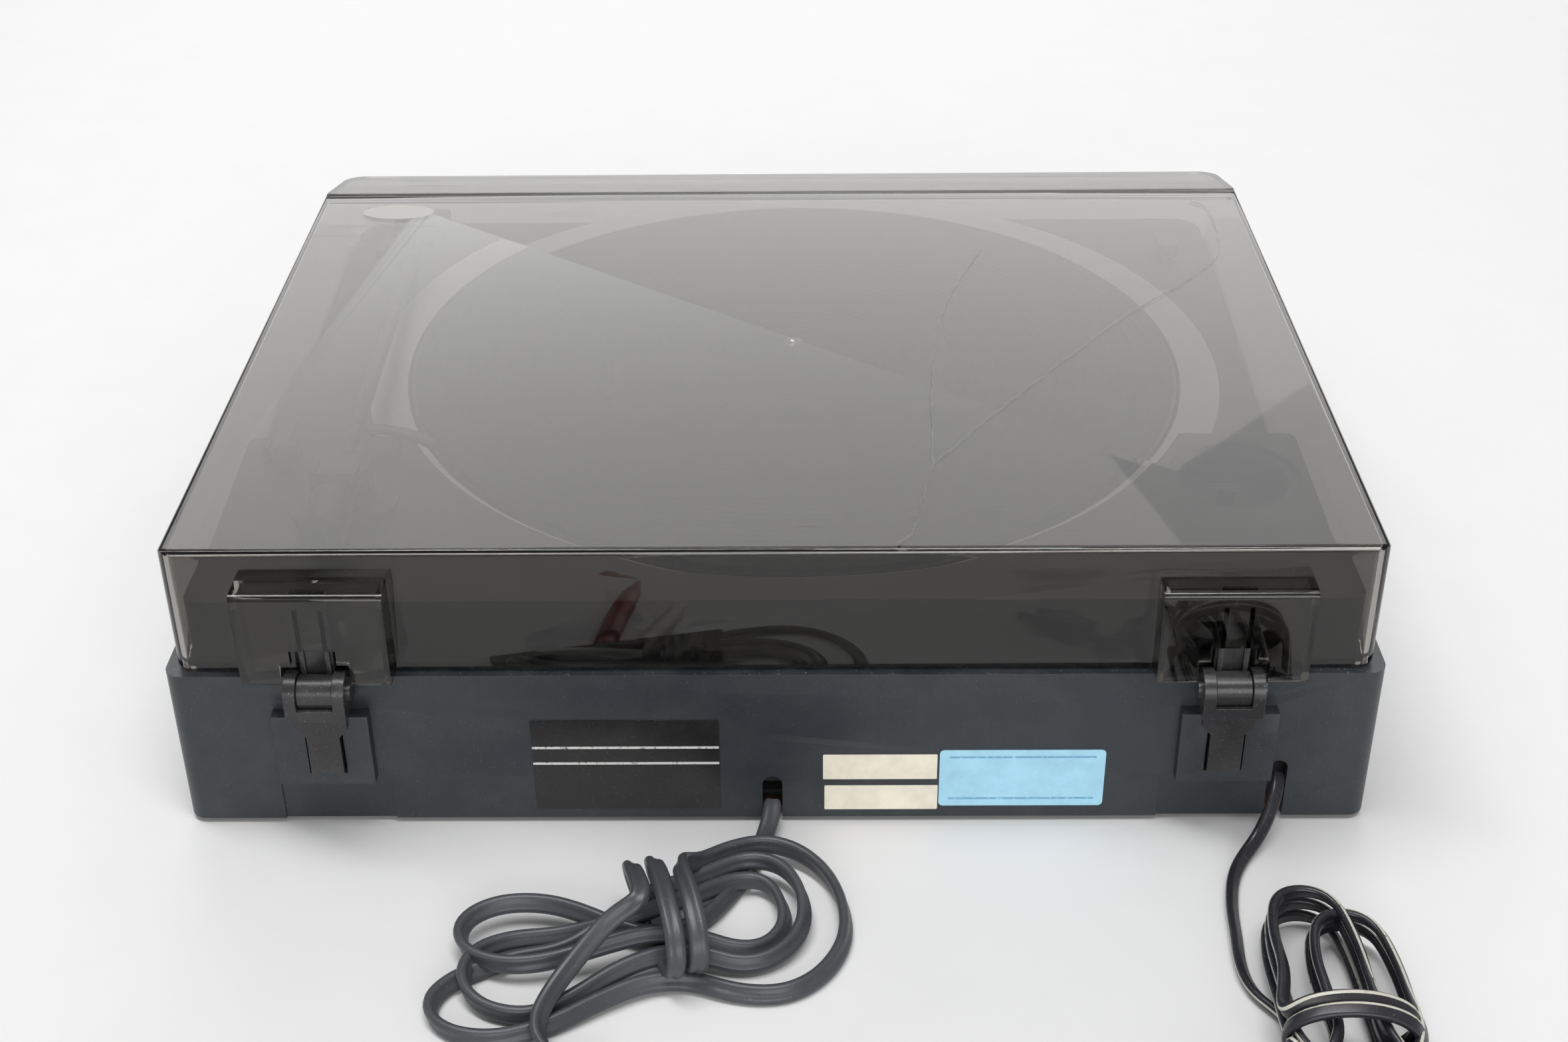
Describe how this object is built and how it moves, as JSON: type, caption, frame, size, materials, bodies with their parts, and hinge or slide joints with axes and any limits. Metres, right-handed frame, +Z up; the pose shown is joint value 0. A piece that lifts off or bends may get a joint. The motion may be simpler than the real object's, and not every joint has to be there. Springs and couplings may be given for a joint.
{
  "type": "record player",
  "caption": "Low belt-driven record player seen from behind, smoked dust cover closed on two plastic hinges, with a twin signal cord and a mains cord hanked on the table.",
  "frame": {"origin": "on the table under the middle of the player's box, cords left out", "axes": "+X the player's right seen from its front, +Y towards its rear wall, +Z up"},
  "size_m": [0.408, 0.5383, 0.11],
  "materials": {
    "housing_plastic": "fine moulded grain, slightly dusty",
    "deck_plastic": "fine moulded grain",
    "hardboard": "pressed fibre board",
    "zinc_steel": "zinc plated",
    "black_rubber": "matt",
    "mat_rubber": "ribbed, matt",
    "ring_metal": "satin",
    "black_label": "gloss foil with thin light ruled lines",
    "cream_paper": "aged paper label, plain",
    "blue_label": "plain gloss foil",
    "hinge_plastic": "worn, half gloss",
    "washer_fibre": "fibre",
    "smoked_acrylic": "smoked, polished, scratched and dusty",
    "badge_foil": "satin foil, plain",
    "platter_metal": "painted dark",
    "spindle_steel": "polished",
    "bearing_brass": "turned",
    "motor_can": "zinc plated",
    "gear_nylon": "moulded",
    "capacitor_film": "wrapped film",
    "terminal_plastic": "moulded",
    "inner_plastic": "moulded",
    "arm_plastic": "moulded",
    "arm_paint": "satin black",
    "weight_steel": "satin",
    "headshell_plastic": "moulded",
    "cartridge_plastic": "moulded",
    "stylus_plastic": "moulded",
    "lever_plastic": "half gloss",
    "signal_pvc": "soft PVC sheath, half gloss, twin",
    "mains_pvc": "soft PVC sheath, gloss, pale edge stripe",
    "plug_white": "moulded",
    "plug_red": "moulded",
    "mains_plug_pvc": "moulded"
  },
  "bodies": {
    "housing": {"plinth": "housing_plastic", "deck": "deck_plastic", "base_board": "hardboard", "base_screws": "zinc_steel", "feet": "black_rubber", "platter_trim_ring": "ring_metal", "lid_bumpers": "black_rubber", "rating_plate": "black_label", "date_labels": "cream_paper", "approval_label": "blue_label", "hinge_body_left": "hinge_plastic", "hinge_body_right": "hinge_plastic", "hinge_pin_left": "zinc_steel", "hinge_pin_right": "zinc_steel", "hinge_washers": "washer_fibre", "bearing_sleeve": "bearing_brass", "bearing_screws": "zinc_steel", "thrust_ball": "zinc_steel", "motor": "motor_can", "motor_grommets": "black_rubber", "motor_screws": "zinc_steel", "drive_belt": "black_rubber", "return_gear_axle": "zinc_steel", "capacitor": "capacitor_film", "terminal_strip": "terminal_plastic", "power_switch": "inner_plastic", "tonearm_base": "arm_plastic", "arm_rest": "arm_plastic", "cue_base": "arm_plastic", "signal_cord_clamp": "inner_plastic", "mains_cord_clamp": "inner_plastic", "signal_cord_run": "signal_pvc", "signal_cord_hank": "signal_pvc", "signal_plug_left": "plug_white", "signal_plug_right": "plug_red", "mains_cord_run": "mains_pvc", "mains_cord_hank": "mains_pvc", "mains_plug": "mains_plug_pvc"},
    "dust_cover": {"lid": "smoked_acrylic", "lid_badge": "badge_foil", "hinge_leaf_left": "hinge_plastic", "hinge_leaf_right": "hinge_plastic"},
    "platter_body": {"platter": "platter_metal", "platter_skirt": "platter_metal", "platter_belt_rim": "platter_metal", "platter_hub": "platter_metal", "platter_mat": "mat_rubber", "spindle": "spindle_steel"},
    "pulley_body": {"motor_pulley": "bearing_brass"},
    "gear_body": {"return_gear": "gear_nylon"},
    "yoke_body": {"arm_yoke": "arm_plastic"},
    "arm_body": {"arm_tube": "arm_paint", "headshell": "headshell_plastic", "cartridge": "cartridge_plastic", "stylus": "stylus_plastic"},
    "weight_body": {"counterweight": "weight_steel"},
    "cue_lever_body": {"cue_lever": "lever_plastic"},
    "cue_lifter_body": {"cue_lifter": "lever_plastic"},
    "start_body": {"start_lever": "lever_plastic"},
    "speed_body": {"speed_lever": "lever_plastic"}
  },
  "joints": [
    {"name": "lid_hinge", "type": "hinge", "parent": "housing", "child": "dust_cover", "pos_m": [0, 0.1793, 0.062], "axis": [-1, 0, 0], "range_deg": [0, 68]},
    {"name": "platter_turn", "type": "hinge", "parent": "housing", "child": "platter_body", "pos_m": [-0.009, -0.004, 0.0865], "axis": [0, 0, -1], "continuous": true},
    {"name": "pulley_turn", "type": "hinge", "parent": "housing", "child": "pulley_body", "pos_m": [-0.109, 0.071, 0.0775], "axis": [0, 0, -1], "continuous": true},
    {"name": "gear_turn", "type": "hinge", "parent": "housing", "child": "gear_body", "pos_m": [0.017, -0.04903, 0.078], "axis": [0, 0, 1], "continuous": true},
    {"name": "arm_swing", "type": "hinge", "parent": "housing", "child": "yoke_body", "pos_m": [0.152, 0.103, 0.0925], "axis": [0, 0, -1], "range_deg": [0, 42]},
    {"name": "arm_lift", "type": "hinge", "parent": "yoke_body", "child": "arm_body", "pos_m": [0.152, 0.103, 0.099], "axis": [-1, 0, 0], "range_deg": [0, 0.9]},
    {"name": "weight_turn", "type": "hinge", "parent": "arm_body", "child": "weight_body", "pos_m": [0.152, 0.133, 0.099], "axis": [0, 1, 0], "continuous": true},
    {"name": "cue_lever_turn", "type": "hinge", "parent": "housing", "child": "cue_lever_body", "pos_m": [0.179, 0.075, 0.0933], "axis": [-1, 0, 0], "range_deg": [0, 30]},
    {"name": "cue_lifter_rise", "type": "slide", "parent": "housing", "child": "cue_lifter_body", "axis": [0, 0, 1], "range_m": [0, 0.00063]},
    {"name": "start_slide", "type": "slide", "parent": "housing", "child": "start_body", "axis": [0, 1, 0], "range_m": [0, 0.008], "stiffness_N_per_m": 60},
    {"name": "speed_slide", "type": "slide", "parent": "housing", "child": "speed_body", "axis": [0, 1, 0], "range_m": [0, 0.01]}
  ],
  "couplings": [
    {"joint": "pulley_turn", "follows": "platter_turn", "ratio": 15.331},
    {"joint": "arm_lift", "follows": "cue_lever_turn", "ratio": 0.03},
    {"joint": "cue_lifter_rise", "follows": "cue_lever_turn", "m_per_rad": 0.0012}
  ]
}
